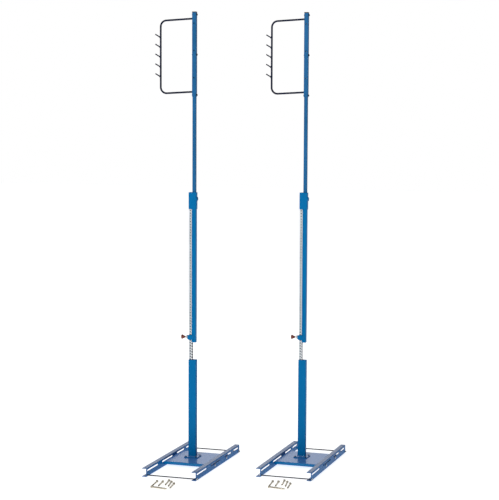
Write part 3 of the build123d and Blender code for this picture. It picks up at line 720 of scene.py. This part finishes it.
def side_fasteners(post):
    """The bolts that hold the base plate to the rails, heads outwards, and their nuts."""
    longest_nut = 0.0055
    bm = bmesh.new()
    for low, high, middle in island_boxes(post, "plate_fasteners"):
        length = high.x - low.x
        if length < longest_nut:
            add_nut(bm, along_x(middle, low.x), length)
            continue
        facing = side_of_post(post, middle)
        outer = low.x if facing < 0 else high.x
        face = outer - facing * HEAD_HEIGHT
        add_button_head(bm, along_x(middle, face, facing))
        add_shank(bm, along_x(middle, face, -facing), length - HEAD_HEIGHT)
    finished(f"{post}_side_bolt_set", bm, "root", "zinc_steel", replaces=[f"{post}_plate_fasteners"])


def tie_rod_fasteners(post):
    """A washer and a nut at each end of both tie rods."""
    hole, washer_r, washer = TIE_ROD_R + 0.00005, 0.0058, 0.0012
    bm = bmesh.new()
    for low, high, middle in island_boxes(post, "tie_rod_nuts"):
        outwards = side_of_post(post, middle)
        inner = high.x if outwards < 0 else low.x
        place = along_x(middle, inner, outwards)
        add_washer(bm, place, hole, washer_r, washer)
        add_nut(bm, place @ Matrix.Translation((0, 0, washer)), high.x - low.x - washer, hole)
    finished(f"{post}_tie_rod_nut_set", bm, "root", "zinc_steel", replaces=[f"{post}_tie_rod_nuts"])


def threaded_tie_rods(post):
    """The two tie rods, smooth in the middle and threaded at both ends."""
    threaded = 0.024
    for end in ("front", "rear"):
        bm = bmesh.new()
        low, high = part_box(f"{post}_{end}_tie_rod")
        middle = (low + high) / 2
        half = (high.x - low.x) / 2
        profile = [(TIE_ROD_R, 0.0), (TIE_ROD_R, half - threaded - 0.001),
                   (TIE_ROD_R - 0.0002, half - threaded - 0.0005),
                   *thread_profile(half - threaded, half, TIE_ROD_R)]
        for facing in (-1, 1):
            add_lathe(bm, profile, along_x(middle, middle.x, facing), 28)
        finished(f"{post}_{end}_tie_bar", bm, "root", "black_steel",
                 replaces=[f"{post}_{end}_tie_rod"])


def mast_welds(post):
    """The weld round the foot of the mast, and the one round the clamp nut."""
    bm = bmesh.new()
    low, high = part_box(f"{post}_lower_mast")
    z = low.z + 0.0006
    corners = [Vector((low.x, low.y, z)), Vector((high.x, low.y, z)),
               Vector((high.x, high.y, z)), Vector((low.x, high.y, z))]
    add_bead(bm, rounded_path(corners, 0.004, closed=True, step=0.0012), 0.0020)
    nut = f"{post}_clamp_nut"
    seam_r = 0.0114
    add_bead(bm, circle_round_x(centre(nut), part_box(nut)[0].x, seam_r, 90), 0.0009)
    finished(f"{post}_mast_welds", bm, "root", "blue_paint", "blue_weld")


def latch_welds(post):
    """Short welds along the two edges where the housing meets the carriage tube."""
    inset = 0.004   # of each weld's ends from the housing's ends
    bm = bmesh.new()
    low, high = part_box(f"{post}_latch_housing")
    tube_low, tube_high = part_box(f"{post}_carriage_tube")
    for y in (tube_low.y - 0.0004, tube_high.y + 0.0004):
        ends = [Vector((high.x + 0.0002, y, low.z + inset)), Vector((high.x + 0.0002, y, high.z - inset))]
        add_bead(bm, spread(ends, 0.0011, closed=False), 0.0013, closed=False)
    finished(f"{post}_latch_weld", bm, f"{post}_carriage", "blue_paint", "blue_weld")


def coil_spring(post):
    """The latch's return spring, which on the real latch shortens as the knob is pulled."""
    low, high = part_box(f"{post}_plunger_spring")
    middle = (low + high) / 2
    wire, turns, steps = 0.0004, 3.5, 36
    ring = (high.z - low.z) / 2 - wire
    start, end = low.x + wire, high.x - wire
    count = round(turns * steps)
    points = [Vector((start + (end - start) * i / count,
                      middle.y + ring * cos(2 * pi * i / steps),
                      middle.z + ring * sin(2 * pi * i / steps))) for i in range(count + 1)]
    bm = bmesh.new()
    add_rod(bm, points, wire, 10)
    spring = finished(f"{post}_coil_spring", bm, f"{post}_carriage", "zinc_steel",
                      replaces=[f"{post}_plunger_spring"])
    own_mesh(spring)


for post_name in POSTS:
    smooth_hook_loop(post_name)
    smooth_hook_pegs(post_name)
    ribbed_knob(post_name)
    turned_ground_pegs(post_name)
    bracket_fasteners(post_name)
    foot_fasteners(post_name)
    side_fasteners(post_name)
    tie_rod_fasteners(post_name)
    threaded_tie_rods(post_name)
    mast_welds(post_name)
    latch_welds(post_name)
    coil_spring(post_name)


# ---------------------------------------------------------------- studio
VIEW_TURN = radians(18.24)   # how far the camera stands to the right of the -Y axis


def studio_world():
    """A white backdrop where the camera looks, in an otherwise dim room."""
    world = bpy.data.worlds.new("studio_world")
    world.use_nodes = True
    tree = world.node_tree
    coords = tree.nodes.new("ShaderNodeTexCoord")
    facing = tree.nodes.new("ShaderNodeVectorMath")
    facing.operation = "DOT_PRODUCT"
    tree.links.new(coords.outputs["Generated"], facing.inputs[0])
    facing.inputs[1].default_value = (-sin(VIEW_TURN), cos(VIEW_TURN), 0.0)
    ramp = tree.nodes.new("ShaderNodeValToRGB")
    dim, white = ramp.color_ramp.elements
    dim.position, dim.color = 0.80, (0.20, 0.21, 0.23, 1.0)
    white.position, white.color = 0.86, (1.0, 1.0, 1.0, 1.0)
    tree.links.new(facing.outputs["Value"], ramp.inputs["Fac"])
    background = tree.nodes["Background"]
    tree.links.new(ramp.outputs["Color"], background.inputs["Color"])
    bpy.context.scene.world = world


def studio_floor():
    """A wide white floor that glows a little."""
    n = Nodes("studio_white")
    faint = n.mix(n.scaled(n.noise(3.0), 0.0, 1.0), (0.80, 0.80, 0.80), (0.82, 0.82, 0.82))
    n.surface(faint, 0.9, Emission_Color=(1.0, 1.0, 1.0, 1.0), Emission_Strength=0.80)
    bpy.ops.mesh.primitive_plane_add(size=60.0, location=(0, 0, 0))
    plane = bpy.context.object
    plane.name = "studio_floor"
    plane.data.materials.append(n.material)
    return plane


def studio_light(name, place, size, power):
    """A square soft light that points at the middle of the posts."""
    data = bpy.data.lights.new(name, "AREA")
    data.energy, data.size = power, size
    lamp = bpy.data.objects.new(name, data)
    bpy.context.scene.collection.objects.link(lamp)
    lamp.location = place
    aim = Vector((0.0, 0.15, 1.2)) - Vector(place)
    lamp.rotation_euler = aim.to_track_quat("-Z", "Y").to_euler()
    return lamp


def studio():
    """The floor, a key light high in front and a weaker light behind."""
    key = studio_light("key", (-0.4, -6.0, 3.6), size=1.6, power=150.0)
    back = studio_light("back", (-1.5, 5.0, 3.4), size=2.0, power=60.0)
    bpy.context.scene.view_settings.view_transform = "Standard"
    studio_floor()


def photo_camera():
    """A long lens a little under two metres up, eight metres away and a little to the right."""
    pitch, roll = radians(5.14), radians(-0.26)
    distance, height, across = 8.0, 1.886, 0.0035
    middle = (post_axis("left") + post_axis("right")) / 2
    ahead = Vector((-sin(VIEW_TURN), cos(VIEW_TURN), 0.0))
    right = Vector((cos(VIEW_TURN), sin(VIEW_TURN), 0.0))
    data = bpy.data.cameras.new("photo_view")
    data.sensor_fit = "HORIZONTAL"
    data.sensor_width = 36.0
    data.lens = 107.14
    camera = bpy.data.objects.new("photo_view", data)
    bpy.context.scene.collection.objects.link(camera)
    camera.location = middle - ahead * distance + right * across + Vector((0, 0, height))
    camera.rotation_euler = (pi / 2 - pitch, roll, VIEW_TURN)
    bpy.context.scene.camera = camera


studio_world()
studio()
photo_camera()
